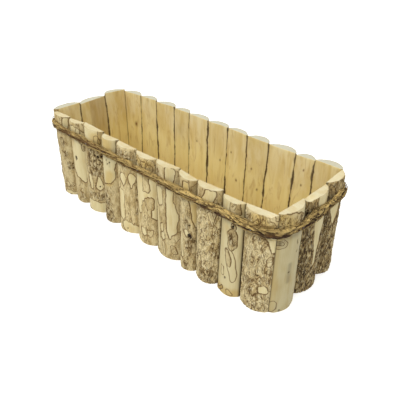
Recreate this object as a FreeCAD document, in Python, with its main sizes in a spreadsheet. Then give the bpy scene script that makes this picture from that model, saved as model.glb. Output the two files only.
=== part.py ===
"""Wooden cachepot: split half-log slats nailed round a plank floor, tied with a bast rope below the rim.

Millimetres, +Z up. The origin is on the ground under the middle of the pot; the front wall faces -Y.
Each wall has a frame of its own: it starts at the wall's left corner as seen from outside, runs along
the sawn inner faces in X, and looks outwards along -Y.
"""

import FreeCAD, Part
import math
import os
import Sketcher

V = FreeCAD.Vector
UP = V(0, 0, 1)
OUTWARD = V(0, -1, 0)

# Driving sizes
SIZES = {
    "inner_length": 470,
    "inner_width": 148,
    "slat_height": 157,
    "slat_crown": 13.5,
    "slat_edge": 3.5,
    "slat_gap": 1.2,
    "foot_flare": 4,
    "top_step": 4,
    "joint_lean": 5,
    "plank_lift": 6,
    "plank_thickness": 18,
    "drain_gap": 6,
    "nail_shank": 2,
    "nail_length": 40,
    "nail_head": 3,
    "nail_head_height": 1.2,
    "nail_point": 3,
    "brad_shank": 1.6,
    "brad_length": 16,
    "brad_point": 2,
    "brad_sink": 1,
    "fastener_clearance": 0.1,
    "rope_width": 12,
    "rope_thickness": 7,
    "rope_height": 135.5,
    "rope_clearance": 0.3,
    "rope_bend": 40,
    "rope_end_gap": 0.6,
    "cut_overrun": 5,
}

# Places of the fasteners, as shares of the slat's width and depth and of the plank's thickness
SIZES["nail_left_share"] = 0.27
SIZES["nail_right_share"] = 0.71
SIZES["nail_seat_share"] = 0.5
SIZES["long_wall_nail_share"] = 0.34
SIZES["end_wall_nail_share"] = 0.68

# The rope's two ends meet over this joint of the back wall
ROPE_JOIN_WALL = "back"
ROPE_JOIN_NUMBER = 6


class Wall:
    """One wall: its slats from left to right as seen from outside.

    joint_shares place the tops of the joints along the wall, lean_shares say how far each joint's top
    leans to the right of its foot. Each slat has a crown, a flare that thickens its foot, and the rise of
    its sawn top at both sides.
    """

    def __init__(self, name, run, turn, corner, along, nail_share):
        self.name = name
        self.run = "sizes." + run
        self.turn = turn
        self.corner = corner
        self.along = along
        self.nail_share = "sizes." + nail_share

    def shares(self, joint_shares, lean_shares, crown_shares, flare_shares, left_rise_shares,
               right_rise_shares):
        self.count = len(crown_shares)
        self.crown_shares = crown_shares
        columns = {"joint": joint_shares, "lean": lean_shares, "crown": crown_shares, "flare": flare_shares,
                   "left_rise": left_rise_shares, "right_rise": right_rise_shares}
        for word, column in columns.items():
            for number, share in enumerate(column):
                SIZES[f"{self.name}_{word}_{number:02d}_share"] = share
        return self

    def cell(self, word, number):
        return f"sizes.{self.name}_{word}_{number:02d}_share"

    def label(self, number):
        digits = len(str(self.count))
        return f"{self.name}_slat_{number + 1:0{digits}d}"

    def place(self, share):
        """The X and Y of a point of the wall's inner face line, as expressions."""
        corner_x, corner_y = self.corner
        along_x, along_y = self.along
        return (f"sizes.inner_length * ({corner_x} / 2 + {along_x} * {share})",
                f"sizes.inner_width * ({corner_y} / 2 + {along_y} * {share})")

    def frame(self):
        x, y = self.place("0")
        return FreeCAD.Placement(V(value(x), value(y), 0), FreeCAD.Rotation(UP, self.turn))


FRONT = Wall("front", "inner_length", 0, (-1, -1), (1, 0), "long_wall_nail_share").shares(
    joint_shares=[0, 0.082, 0.177, 0.284, 0.365, 0.456, 0.553, 0.654, 0.727, 0.823, 0.903, 1],
    lean_shares=[0, 0.4, 1.3, 1.85, 0.85, 0, 0, -1, -0.75, 0.1, -0.35, 0],
    crown_shares=[0.88, 0.85, 1, 1.05, 0.95, 0.92, 1, 0.97, 1, 0.87, 1.05],
    flare_shares=[1.2, 1.2, 1.1, 1.2, 1.2, 1.2, 1, 0.9, 1.1, 1.1, -0.4],
    left_rise_shares=[-0.7, -1, 0.55, -0.55, -0.4, -0.8, -0.3, 0, -0.55, -1.25, -0.6],
    right_rise_shares=[-0.5, 0.1, 0.15, -0.2, -0.55, -0.5, 0.4, -0.9, 0.05, -0.8, 0.4],
)
RIGHT = Wall("right", "inner_width", 90, (1, -1), (0, 1), "end_wall_nail_share").shares(
    joint_shares=[0, 0.37, 0.735, 1],
    lean_shares=[0, 0.3, -0.2, 0],
    crown_shares=[1.05, 1.03, 0.87],
    flare_shares=[0.9, 1, 1.1],
    left_rise_shares=[0.9, -0.1, 0],
    right_rise_shares=[-0.1, -0.7, 0.85],
)
BACK = Wall("back", "inner_length", 180, (1, 1), (-1, 0), "long_wall_nail_share").shares(
    joint_shares=[0, 0.087, 0.155, 0.261, 0.347, 0.436, 0.529, 0.623, 0.701, 0.805, 0.895, 1],
    lean_shares=[0, -0.2, -0.6, -0.4, -0.2, -0.4, -0.2, -0.6, -0.4, -0.2, -1.4, 0],
    crown_shares=[1, 0.97, 1.03, 1.04, 0.87, 0.92, 0.95, 1, 1.05, 0.95, 1.05],
    flare_shares=[0.5, 0.9, 0.7, 0.9, 0.8, 1, 0.9, 0.7, 0.8, 0.9, 0.6],
    left_rise_shares=[1, 0.5, 0.45, 0.35, 0.35, 0.55, 0.25, 0.45, 0.75, 0.5, 0.1],
    right_rise_shares=[0.9, 0.05, 0.1, 0.2, 0.45, 0.1, 0.25, 0.25, -0.1, -0.05, -0.75],
)
LEFT = Wall("left", "inner_width", 270, (-1, 1), (0, -1), "end_wall_nail_share").shares(
    joint_shares=[0, 0.315, 0.69, 1],
    lean_shares=[0, 0.3, -0.2, 0],
    crown_shares=[0.92, 1.05, 1.04],
    flare_shares=[0.7, 0.6, 0.8],
    left_rise_shares=[0.15, -0.1, 0.3],
    right_rise_shares=[1.05, -0.5, 0.4],
)
WALLS = [FRONT, RIGHT, BACK, LEFT]
SIZES["crown_limit_share"] = max(max(wall.crown_shares) for wall in WALLS)

doc = FreeCAD.newDocument("wooden_cachepot")
sheet = doc.addObject("Spreadsheet::Sheet", "sizes")
for row, (alias, number) in enumerate(SIZES.items(), start=1):
    sheet.set(f"A{row}", alias)
    sheet.set(f"B{row}", str(number))
    sheet.setAlias(f"B{row}", alias)
doc.recompute()
nodes = []

# Heights and depths that several pieces share
STOCK_HEIGHT = "(sizes.slat_height + 2 * sizes.top_step)"
PLANK_WIDTH = "(sizes.inner_width - sizes.drain_gap) / 2"
ROPE_FOOT_SHARE = f"(1 - (sizes.rope_height - sizes.rope_width / 2) / {STOCK_HEIGHT})"
ROPE_STAND = (f"(sizes.slat_crown * sizes.crown_limit_share + sizes.foot_flare * {ROPE_FOOT_SHARE}"
              " + sizes.rope_clearance + sizes.rope_thickness / 2)")
BRAD_END = f"({ROPE_STAND} + sizes.rope_thickness / 2 - sizes.brad_sink)"
NAIL_HOLE = "sizes.nail_shank / 2 + sizes.fastener_clearance"
NAIL_RECESS = "sizes.nail_head / 2 + sizes.fastener_clearance"
BRAD_HOLE = "sizes.brad_shank / 2 + sizes.fastener_clearance"
THROUGH_SLAT = "sizes.slat_crown * sizes.crown_limit_share + sizes.foot_flare + 2 * sizes.cut_overrun"


def value(size):
    """What an expression on the sheet comes to."""
    return float(sheet.evalExpression(size))


def nail_height(wall):
    return f"sizes.plank_lift + sizes.plank_thickness * {wall.nail_share}"


class Slat:
    """The sizes of one slat, as expressions, in a frame that starts at its left joint's top."""

    def __init__(self, wall, number):
        here = wall.cell("lean", number)
        after = wall.cell("lean", number + 1)
        rise = "sizes.slat_height + sizes.top_step * "
        self.start = wall.cell("joint", number)
        self.pitch = f"{wall.run} * ({wall.cell('joint', number + 1)} - {self.start})"
        self.top_width = f"({self.pitch} - sizes.slat_gap)"
        self.foot_left = f"(sizes.slat_gap / 2 - sizes.joint_lean * {here})"
        self.foot_width = f"({self.top_width} - sizes.joint_lean * ({after} - {here}))"
        self.crown = f"(sizes.slat_crown * {wall.cell('crown', number)})"
        self.flare = f"sizes.foot_flare * {wall.cell('flare', number)}"
        self.nail_seat = f"(sizes.slat_edge + ({self.crown} - sizes.slat_edge) * sizes.nail_seat_share)"
        self.left_top = rise + wall.cell("left_rise", number)
        self.right_top = rise + wall.cell("right_rise", number)
        self.middle = f"({self.pitch}) / 2"
        self.nails = [f"{self.foot_left} + {self.foot_width} * sizes.nail_{side}_share"
                      for side in ("left", "right")]


def new_sketch(body, name, role, offset):
    """A sketch on one of the body's own planes, moved along its normal by an expression."""
    sketch = body.newObject("Sketcher::SketchObject", name)
    plane = next(feature for feature in body.Origin.OriginFeatures if feature.Role == role)
    sketch.AttachmentSupport = [(plane, "")]
    sketch.MapMode = "FlatFace"
    sketch.setExpression("AttachmentOffset.Base.z", offset)
    return sketch


def bind(sketch, name, size, kind, *references):
    """Adds a dimension to a sketch and ties it to the sheet."""
    number = sketch.addConstraint(Sketcher.Constraint(kind, *references, value(size)))
    sketch.renameConstraint(number, name)
    sketch.setExpression("Constraints." + name, size)


def join_ends(sketch, pairs):
    for first, first_end, second, second_end in pairs:
        sketch.addConstraint(Sketcher.Constraint("Coincident", first, first_end, second, second_end))


def split_log_section(body, name, height, left, width, edge, crown):
    """The cross-section of a split log: a sawn chord, two square edges and a round outer face."""
    sketch = new_sketch(body, name, "XY_Plane", height)
    rise = f"({crown} - ({edge}))"
    radius = f"({width} ^ 2 / 4 + {rise} ^ 2) / (2 * {rise})"
    near = value(left)
    far = near + value(width)
    depth = value(edge)
    half = value(width) / 2
    bend = value(radius)
    spread = math.asin(half / bend)
    bottom = 1.5 * math.pi
    circle = Part.Circle(V(near + half, bend - value(crown), 0), UP, bend)
    chord, near_edge, far_edge, outside = sketch.addGeometry([
        Part.LineSegment(V(near, 0, 0), V(far, 0, 0)),
        Part.LineSegment(V(near, 0, 0), V(near, -depth, 0)),
        Part.LineSegment(V(far, 0, 0), V(far, -depth, 0)),
        Part.ArcOfCircle(circle, bottom - spread, bottom + spread),
    ])
    join_ends(sketch, [(chord, 1, near_edge, 1), (chord, 2, far_edge, 1),
                       (near_edge, 2, outside, 1), (far_edge, 2, outside, 2)])
    sketch.addConstraint(Sketcher.Constraint("PointOnObject", chord, 1, -1))
    sketch.addConstraint(Sketcher.Constraint("Horizontal", chord))
    sketch.addConstraint(Sketcher.Constraint("Vertical", near_edge))
    sketch.addConstraint(Sketcher.Constraint("Vertical", far_edge))
    bind(sketch, "left", left, "DistanceX", -1, 1, chord, 1)
    bind(sketch, "width", width, "DistanceX", chord, 1, chord, 2)
    bind(sketch, "near_edge", edge, "DistanceY", near_edge, 2, near_edge, 1)
    bind(sketch, "far_edge", edge, "DistanceY", far_edge, 2, far_edge, 1)
    bind(sketch, "round_face", radius, "Radius", outside)
    return sketch


def pocket(body, name, sketch, along_normal, depth):
    """Cuts a sketch into the body to a depth, along the sketch's normal or against it."""
    cut = body.newObject("PartDesign::Pocket", name)
    cut.Profile = sketch
    cut.Reversed = along_normal
    cut.setExpression("Length", depth)


def drill(body, name, role, offset, centres, radius, along_normal, depth):
    """Round holes at the given places of a sketch plane."""
    sketch = new_sketch(body, name + "_places", role, offset)
    for number, (across, height) in enumerate(centres):
        centre = V(value(across), value(height), 0)
        hole = sketch.addGeometry(Part.Circle(centre, UP, value(radius)))
        bind(sketch, f"across_{number}", across, "DistanceX", -1, 1, hole, 3)
        bind(sketch, f"height_{number}", height, "DistanceY", -1, 1, hole, 3)
        bind(sketch, f"radius_{number}", radius, "Radius", hole)
    pocket(body, name, sketch, along_normal, depth)


def saw_top(body, slat):
    """Saws the slat off along its own slightly tilted line."""
    sketch = new_sketch(body, "saw_line", "XZ_Plane", "-sizes.cut_overrun")
    over = f"{STOCK_HEIGHT} + sizes.cut_overrun"
    wide = value(slat.pitch)
    corners = [V(0, value(slat.left_top), 0), V(wide, value(slat.right_top), 0),
               V(wide, value(over), 0), V(0, value(over), 0)]
    saw, right, roof, left = sketch.addGeometry(
        [Part.LineSegment(a, b) for a, b in zip(corners, corners[1:] + corners[:1])])
    join_ends(sketch, [(saw, 2, right, 1), (right, 2, roof, 1), (roof, 2, left, 1), (left, 2, saw, 1)])
    sketch.addConstraint(Sketcher.Constraint("PointOnObject", saw, 1, -2))
    sketch.addConstraint(Sketcher.Constraint("Vertical", left))
    sketch.addConstraint(Sketcher.Constraint("Vertical", right))
    sketch.addConstraint(Sketcher.Constraint("Horizontal", roof))
    bind(sketch, "left_top", slat.left_top, "DistanceY", -1, 1, saw, 1)
    bind(sketch, "right_top", slat.right_top, "DistanceY", -1, 1, saw, 2)
    bind(sketch, "roof", over, "DistanceY", -1, 1, roof, 2)
    bind(sketch, "pitch", slat.pitch, "DistanceX", -1, 1, saw, 2)
    pocket(body, "sawn_top", sketch, True, THROUGH_SLAT)


def new_body(label, wall, share):
    """A body in a wall's frame, moved along the wall to a share of its run."""
    body = doc.addObject("PartDesign::Body", label)
    body.Label = label
    body.Placement = FreeCAD.Placement(V(), FreeCAD.Rotation(UP, wall.turn))
    x, y = wall.place(share)
    body.setExpression("Placement.Base.x", x)
    body.setExpression("Placement.Base.y", y)
    nodes.append(body)
    return body


def make_slat(wall, number):
    """A split log: sawn flat inside, round outside, thicker at the foot, drilled for nails and a brad."""
    slat = Slat(wall, number)
    body = new_body(wall.label(number), wall, slat.start)
    foot = split_log_section(body, "foot", "0", slat.foot_left, slat.foot_width,
                             f"sizes.slat_edge + {slat.flare}", f"({slat.crown} + {slat.flare})")
    top = split_log_section(body, "top", STOCK_HEIGHT, "sizes.slat_gap / 2", slat.top_width,
                            "sizes.slat_edge", slat.crown)
    log = body.newObject("PartDesign::AdditiveLoft", "split_log")
    log.Profile = foot
    log.Sections = [top]
    log.Ruled = True
    saw_top(body, slat)
    for across in slat.nails:
        nail = [(across, nail_height(wall))]
        drill(body, "nail_recess", "XZ_Plane", slat.nail_seat, nail, NAIL_RECESS, True, THROUGH_SLAT)
        drill(body, "nail_hole", "XZ_Plane", "-sizes.cut_overrun", nail, NAIL_HOLE, True, THROUGH_SLAT)
    drill(body, "brad_hole", "XZ_Plane", f"{BRAD_END} - sizes.brad_length",
          [(slat.middle, "sizes.rope_height")], BRAD_HOLE, True, THROUGH_SLAT)


def end_nails(wall, measure):
    """Places of an end wall's nails in the plank beside it, measured from the long wall's inner face."""
    found = []
    for number in range(wall.count):
        slat = Slat(wall, number)
        for across in slat.nails:
            place = measure.format(f"({wall.run} * {slat.start} + {across})")
            if value(place) < value("sizes.inner_width / 2"):
                found.append((place, nail_height(wall)))
    return found


def make_plank(label, wall, left_wall, right_wall):
    """A floor plank along a long wall, with pilot holes for the nails of three walls."""
    body = new_body(label, wall, "0")
    outline = new_sketch(body, "outline", "XY_Plane", "sizes.plank_lift")
    long, wide = value("sizes.inner_length"), value(PLANK_WIDTH)
    corners = [V(0, 0, 0), V(long, 0, 0), V(long, wide, 0), V(0, wide, 0)]
    near, right, far, left = outline.addGeometry(
        [Part.LineSegment(a, b) for a, b in zip(corners, corners[1:] + corners[:1])])
    join_ends(outline, [(near, 2, right, 1), (right, 2, far, 1), (far, 2, left, 1), (left, 2, near, 1)])
    outline.addConstraint(Sketcher.Constraint("Coincident", near, 1, -1, 1))
    for kind, edges in (("Horizontal", (near, far)), ("Vertical", (left, right))):
        for edge in edges:
            outline.addConstraint(Sketcher.Constraint(kind, edge))
    bind(outline, "long", "sizes.inner_length", "DistanceX", near, 1, near, 2)
    bind(outline, "wide", PLANK_WIDTH, "DistanceY", right, 1, right, 2)
    board = body.newObject("PartDesign::Pad", "board")
    board.Profile = outline
    board.setExpression("Length", "sizes.plank_thickness")
    pilot = "sizes.nail_length - sizes.slat_edge"
    edge_nails = []
    for number in range(wall.count):
        slat = Slat(wall, number)
        edge_nails += [(f"{wall.run} * {slat.start} + {across}", nail_height(wall))
                       for across in slat.nails]
    drill(body, "edge_pilots", "XZ_Plane", "0", edge_nails, NAIL_HOLE, False, pilot)
    drill(body, "left_pilots", "YZ_Plane", "0", end_nails(left_wall, "sizes.inner_width - {}"),
          NAIL_HOLE, True, pilot)
    drill(body, "right_pilots", "YZ_Plane", "sizes.inner_length", end_nails(right_wall, "{}"),
          NAIL_HOLE, False, pilot)


def add_shape(label, shape):
    feature = doc.addObject("Part::Feature", label)
    feature.Label = label
    feature.Shape = shape
    feature.Placement = FreeCAD.Placement()
    nodes.append(feature)


def turned(profile):
    """A solid of revolution about Y through points given as (radius, Y)."""
    points = [V(radius, along, 0) for radius, along in profile]
    return Part.Face(Part.makePolygon(points + points[:1])).revolve(V(), OUTWARD, 360)


def make_nails():
    """Two finishing nails in the foot of each slat, driven into the plank behind it."""
    shank = value("sizes.nail_shank / 2")
    head = value("sizes.nail_head / 2")
    length = value("sizes.nail_length")
    neck = length - value("sizes.nail_point")
    nail = turned([(0, length), (shank, neck), (shank, 0), (head, 0),
                   (head, -value("sizes.nail_head_height")), (0, -value("sizes.nail_head_height"))])
    nails = []
    for wall in WALLS:
        for number in range(wall.count):
            slat = Slat(wall, number)
            for across in slat.nails:
                seat = V(value(f"{wall.run} * {slat.start} + {across}"), -value(slat.nail_seat),
                         value(nail_height(wall)))
                place = wall.frame() * FreeCAD.Placement(seat, FreeCAD.Rotation())
                nails.append(nail.transformed(place.Matrix))
    add_shape("slat_nails", Part.makeCompound(nails))


def brad_places():
    """The frame of each brad's outer end, on the middle of every slat."""
    for wall in WALLS:
        for number in range(wall.count):
            slat = Slat(wall, number)
            end = V(value(f"{wall.run} * {slat.start} + {slat.middle}"), -value(BRAD_END),
                    value("sizes.rope_height"))
            yield wall.frame() * FreeCAD.Placement(end, FreeCAD.Rotation())


def make_brads():
    """Headless brads that pin the rope to the slats."""
    shank = value("sizes.brad_shank / 2")
    length = value("sizes.brad_length")
    neck = length - value("sizes.brad_point")
    brad = turned([(0, length), (shank, neck), (shank, 0), (0, 0)])
    add_shape("rope_brads", Part.makeCompound([brad.transformed(place.Matrix) for place in brad_places()]))


def make_rope():
    """A flattened rope round the outside on the slats' crowns, its ends butted over a joint at the back."""
    stand = value(ROPE_STAND)
    reach_x = value("sizes.inner_length / 2") + stand
    reach_y = value("sizes.inner_width / 2") + stand
    bend = value("sizes.rope_bend")
    level = value("sizes.rope_height")
    half_width = value("sizes.rope_width / 2")
    half_thickness = value("sizes.rope_thickness / 2")
    half_gap = value("sizes.rope_end_gap / 2")
    join_wall = next(wall for wall in WALLS if wall.name == ROPE_JOIN_WALL)
    join_x = value(join_wall.place(join_wall.cell("joint", ROPE_JOIN_NUMBER))[0])
    start = V(join_x - half_gap, reach_y, level)
    end = V(join_x + half_gap, reach_y, level)
    inset_x, inset_y = reach_x - bend, reach_y - bend
    edges = []
    last = start
    for side_x, side_y, turn in ((-1, 1, 90), (-1, -1, 180), (1, -1, 270), (1, 1, 0)):
        centre = V(side_x * inset_x, side_y * inset_y, level)
        entry, middle, leave = [centre + FreeCAD.Rotation(UP, turn + part).multVec(V(bend, 0, 0))
                                for part in (0, 45, 90)]
        edges += [Part.LineSegment(last, entry).toShape(), Part.Arc(entry, middle, leave).toShape()]
        last = leave
    edges.append(Part.LineSegment(last, end).toShape())
    path = Part.Wire(edges)
    oval = Part.Ellipse(start + UP * half_width, start + OUTWARD * half_thickness, start)
    rope = path.makePipeShell([Part.Wire([oval.toShape()])], True, False)
    share = rope.Volume / (math.pi * half_width * half_thickness * path.Length)
    print(f"rope {path.Length:.1f} mm long, volume {share:.5f} of section times length")
    over = value("sizes.cut_overrun")
    hole = Part.makeCylinder(value(BRAD_HOLE), 2 * half_thickness + 2 * over, OUTWARD * over, -OUTWARD)
    rope = rope.cut(Part.makeCompound([hole.transformed(place.Matrix) for place in brad_places()]))
    add_shape("rope", rope.Solids[0])


for wall in WALLS:
    for number in range(wall.count):
        make_slat(wall, number)
make_plank("front_plank", FRONT, LEFT, RIGHT)
make_plank("back_plank", BACK, RIGHT, LEFT)
make_nails()
make_brads()
make_rope()
doc.recompute()

faults = [item.Label for item in doc.Objects if {"Invalid", "Error"} & set(item.State)]
faults += [node.Label for node in nodes if node.Shape.isNull() or not node.Shape.isValid()]
if faults:
    raise RuntimeError("failed objects: " + ", ".join(faults))
os.makedirs("parts", exist_ok=True)
for node in nodes:
    node.Shape.exportStep(os.path.join("parts", node.Label + ".step"))
    print(node.Label, len(node.Shape.Solids), "solids", round(node.Shape.Volume), "mm3")
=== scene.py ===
"""Looks of the wooden cachepot: split-log slats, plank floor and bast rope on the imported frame.

Blender's lengths are metres. The slats and the rope are worked out in millimetres in the frame of their
wall: along the sawn inner faces, outwards, and up.
"""
import math

import bpy
import numpy as np
from mathutils import Matrix, Vector


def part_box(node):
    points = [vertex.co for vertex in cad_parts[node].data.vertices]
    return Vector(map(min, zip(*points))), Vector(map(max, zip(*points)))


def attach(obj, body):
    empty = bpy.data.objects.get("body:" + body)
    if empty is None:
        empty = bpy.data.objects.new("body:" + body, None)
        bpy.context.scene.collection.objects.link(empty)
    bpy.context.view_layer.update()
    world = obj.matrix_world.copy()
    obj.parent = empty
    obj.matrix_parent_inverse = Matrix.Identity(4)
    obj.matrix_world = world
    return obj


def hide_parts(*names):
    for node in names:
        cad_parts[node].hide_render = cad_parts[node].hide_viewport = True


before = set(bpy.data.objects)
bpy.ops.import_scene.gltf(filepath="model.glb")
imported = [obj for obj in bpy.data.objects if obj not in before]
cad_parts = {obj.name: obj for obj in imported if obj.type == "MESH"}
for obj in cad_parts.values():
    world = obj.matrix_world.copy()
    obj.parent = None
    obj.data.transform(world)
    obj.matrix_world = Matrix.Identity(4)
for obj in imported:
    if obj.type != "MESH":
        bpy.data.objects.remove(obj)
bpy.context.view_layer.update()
MM = 0.001
WHITE = (1, 1, 1, 1)


# Noise and small maths

def between(low, high, share):
    """Low at share 0, high at share 1, and even steps between."""
    return low + share * (high - low)


def hashed(column, row, seed):
    """A repeatable number from 0 to 1 for each cell of a grid."""
    mixed = (column * 374761393 + row * 668265263 + seed * 974711) & 0xFFFFFFFF
    mixed = ((mixed ^ (mixed >> 13)) * 1274126177) & 0xFFFFFFFF
    return (mixed ^ (mixed >> 16)) / 0xFFFFFFFF


def noise(across, along, seed):
    """Smooth noise of about -1 to 1 on a plane with cells of size 1."""
    across, along = np.broadcast_arrays(np.asarray(across, float), np.asarray(along, float))
    column, row = np.floor(across).astype(np.int64), np.floor(along).astype(np.int64)
    x, y = across - column, along - row
    ease_x, ease_y = (t * t * t * (t * (t * 6 - 15) + 10) for t in (x, y))

    def slope(i, j):
        turn = hashed(column + i, row + j, seed) * 2 * math.pi
        return np.cos(turn) * (x - i) + np.sin(turn) * (y - j)

    low, high = (between(slope(0, j), slope(1, j), ease_x) for j in (0, 1))
    return 1.5 * between(low, high, ease_y)


def rough_noise(across, along, seed, octaves=3):
    """Noise with finer and weaker layers on top of each other."""
    return sum(noise(across * 2 ** n, along * 2 ** n, seed + n) / 2 ** n for n in range(octaves))


def ease(value, low, high):
    """Rises smoothly from 0 at low to 1 at high."""
    t = np.clip((value - low) / (high - low), 0, 1)
    return t * t * (3 - 2 * t)


def bump(distance, reach):
    """A bell of height 1 that has died away at about twice its reach."""
    return np.exp(-(distance / reach) ** 2)


# Shader nodes

def srgb(red, green, blue):
    """A colour as it looks on screen, from 0 to 255, in Blender's linear values."""
    linear = [((c / 255 + 0.055) / 1.055) ** 2.4 if c > 10 else c / 255 / 12.92 for c in (red, green, blue)]
    return (*linear, 1)


def operator(word, swapped=False):
    """A Python operator that adds a Math node."""
    def act(wire, other):
        return wire.nodes.maths(word, *((other, wire) if swapped else (wire, other)))
    return act


class Wire:
    """A socket whose value can be used in Python maths."""

    __add__ = __radd__ = operator("ADD")
    __mul__ = __rmul__ = operator("MULTIPLY")
    __sub__, __rsub__ = operator("SUBTRACT"), operator("SUBTRACT", swapped=True)

    def __init__(self, nodes, socket):
        self.nodes = nodes
        self.socket = socket

    def __abs__(self):
        return self.nodes.maths("ABSOLUTE", self)

    def ease(self, low, high):
        """Goes smoothly from 0 at low to 1 at high."""
        sockets = {"Value": self, "From Min": low, "From Max": high}
        return self.nodes.node("MapRange", {"interpolation_type": "SMOOTHSTEP"}, sockets)

    def shade(self, tone, *shares):
        """Lighter or darker by a tone, with its share in red, green and blue."""
        sockets = {number: 1 + tone * share for number, share in enumerate(shares)}
        return self.nodes.mix(self, self.nodes.node("CombineColor", None, sockets), 1.0, "MULTIPLY")


class Nodes:
    """Adds nodes to a material or to the sky."""

    def __init__(self, owner):
        owner.use_nodes = True
        self.tree = owner.node_tree

    def node(self, kind, settings=None, sockets=None, result=0):
        """Adds a node: its settings first, then the values or links of its sockets. Gives one output."""
        made = self.tree.nodes.new("ShaderNode" + kind)
        for word, setting in (settings or {}).items():
            setattr(made, word, setting)
        for socket, given in (sockets or {}).items():
            self.feed(made.inputs[socket], given)
        return Wire(self, made.outputs[result])

    def feed(self, socket, given):
        if isinstance(given, Wire):
            self.tree.links.new(given.socket, socket)
        else:
            socket.default_value = given

    def maths(self, operation, *values):
        return self.node("Math", {"operation": operation}, dict(enumerate(values)))

    def mix(self, first, second, share, blend="MIX"):
        """Between two colours by a share, or by a blend such as MULTIPLY."""
        first, second = (srgb(*colour) if isinstance(colour, tuple) else colour for colour in (first, second))
        settings = {"data_type": "RGBA", "blend_type": blend, "clamp_factor": True}
        return self.node("Mix", settings, {0: share, 6: first, 7: second}, result=2)

    def paint(self, colour, *layers):
        """A colour under layers of other colours, each with its share."""
        for layer, share in layers:
            colour = self.mix(colour, layer, share)
        return colour

    def surface(self, output, shader, shown):
        """Sends a shader to the output, and another one for what is seen, also in gloss and glass."""
        camera, gloss, glass = (self.node("LightPath", result=f"Is {ray} Ray")
                                for ray in ("Camera", "Glossy", "Transmission"))
        seen = self.maths("MAXIMUM", self.maths("MAXIMUM", camera, gloss), glass)
        mixed = self.node("MixShader", None, {0: seen, 1: shader, 2: shown})
        self.feed(self.tree.nodes[output].inputs["Surface"], mixed)


class Finish(Nodes):
    """A material and the nodes that make it up."""

    def __init__(self, name):
        self.material = bpy.data.materials.new(name)
        super().__init__(self.material)
        self.shader = self.tree.nodes["Principled BSDF"]

    def notes(self, *names):
        """Numbers that the mesh carries at its vertices."""
        return [self.node("Attribute", {"attribute_name": name}, result="Fac") for name in names]

    def noises(self, *rows):
        """A noise from 0 to 1 for each row: the size of its lumps in mm along x, y and z, and after that,
        if they aren't plain, its detail, roughness and distortion."""
        return [self.noise(*row) for row in rows]

    def noise(self, x, y, z, detail=2.0, roughness=0.5, distortion=0.0):
        factors = tuple(1 / (MM * size) for size in (x, y, z))
        sockets = {0: self.node("TexCoord", result="Object"), 1: factors}
        place = self.node("VectorMath", {"operation": "MULTIPLY"}, sockets)
        return self.node("TexNoise", None, {"Vector": place, "Scale": 1.0, "Detail": detail,
                                            "Roughness": roughness, "Distortion": distortion})

    def set(self, **sockets):
        """Values or links for the main shader, by socket name with _ for a blank."""
        for name, given in sockets.items():
            self.feed(self.shader.inputs[name.replace("_", " ")], given)

    def done(self, colour, roughness, height, depth, gloss=0.3, metal=0.0):
        """The material, with relief of a depth in mm from a height of 0 to 1."""
        bent = self.node("Bump", None, {"Height": height, "Distance": depth * MM, "Strength": 1.0})
        self.set(Base_Color=colour, Roughness=roughness, Normal=bent)
        self.set(Specular_IOR_Level=gloss, Metallic=metal)
        return self.material


def bark_finish():
    """The round outer side: peeled wood with brown outlines, and skin or squiggled bark where it is left."""
    finish = Finish("peeled_log")
    peel, loops, pit, rough = finish.notes("peel", "loops", "pit", "rough")
    grime_and_shade, tone, dark, stain = finish.notes("grime_and_shade", "tone", "dark", "stain")
    fine, worm, chap, clump = finish.noises(
        (0.9, 0.9, 2.6, 3), (7, 7, 17, 3, 0.55, 0.8), (1.6, 1.6, 5.5, 2, 0.5, 0.9), (7, 7, 17))
    cloud, streak, shred = finish.noises((12, 12, 36), (1.6, 1.6, 50, 3, 0.6), (1.4, 1.4, 9, 2, 0.5, 0.7))
    edge = peel + (fine - 0.5) * 0.6 + (chap - 0.5) * 1.8
    bark = edge.ease(-0.15, 0.3)
    width = 0.7 + cloud * 0.7
    outline = 1 - abs(edge).ease(width * 0.4, width)
    loop = 1 - abs(loops + (fine - 0.5) * 0.4).ease(0.3, 0.9)

    wood = finish.paint(
        (219, 205, 158), ((207, 188, 135), (streak * 0.4 + cloud * 0.6).ease(0.4, 0.66)),
        ((204, 174, 112), cloud.ease(0.58, 0.78) * 0.45))
    flake = (pit * 0.5 + chap * 0.5).ease(0.54, 0.68) * rough.ease(0.3, 1.0)
    skin = finish.paint(
        (213, 195, 147), ((189, 166, 115), (cloud * 0.45 + clump * 0.55).ease(0.42, 0.6)),
        ((160, 132, 80), peel.ease(3.2, 0.4) * 0.35), ((146, 117, 66), dark * 0.85),
        ((220, 205, 162), flake * 0.8))
    tan = (200, 168, 90), stain * (0.4 + cloud * 0.5)
    level = finish.maths("PINGPONG", worm * 7, 0.5) * 2
    strength = rough.ease(0.15, 0.85) * (0.45 + clump.ease(0.38, 0.58) * 0.55)
    squiggle = (1 - level.ease(0.2, 0.5)) * strength
    ink = finish.mix((92, 66, 31), (60, 39, 14), dark)
    crevice = (pit * 0.35 + chap * 0.65).ease(0.47, 0.39) * rough.ease(0.65, 1.2)
    shadow = finish.mix((104, 76, 38), (44, 28, 10), dark)
    old = dark.ease(0.4, 0.8) * 0.75
    skin = finish.paint(
        skin, tan, (ink, squiggle * 0.95), (shadow, crevice * (0.5 + dark * 0.45)),
        ((204, 180, 124), shred.ease(0.53, 0.66) * old), ((50, 32, 12), shred.ease(0.46, 0.37) * old))
    colour = finish.paint(
        wood, tan, (skin, bark), ((106, 80, 42), outline * 0.9), ((114, 87, 47), loop * 0.88))
    # The dark layer is dirt, with painted shade under the rope and in the holes
    colour = finish.paint(colour.shade(tone, 0.1, 0.1, 0.1), ((44, 29, 14), grime_and_shade))
    height = fine * 0.3 + (worm * 0.6 - squiggle) * bark * rough + streak * 0.2
    return finish.done(colour, 0.62 + bark * 0.26, height, 0.5)


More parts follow.
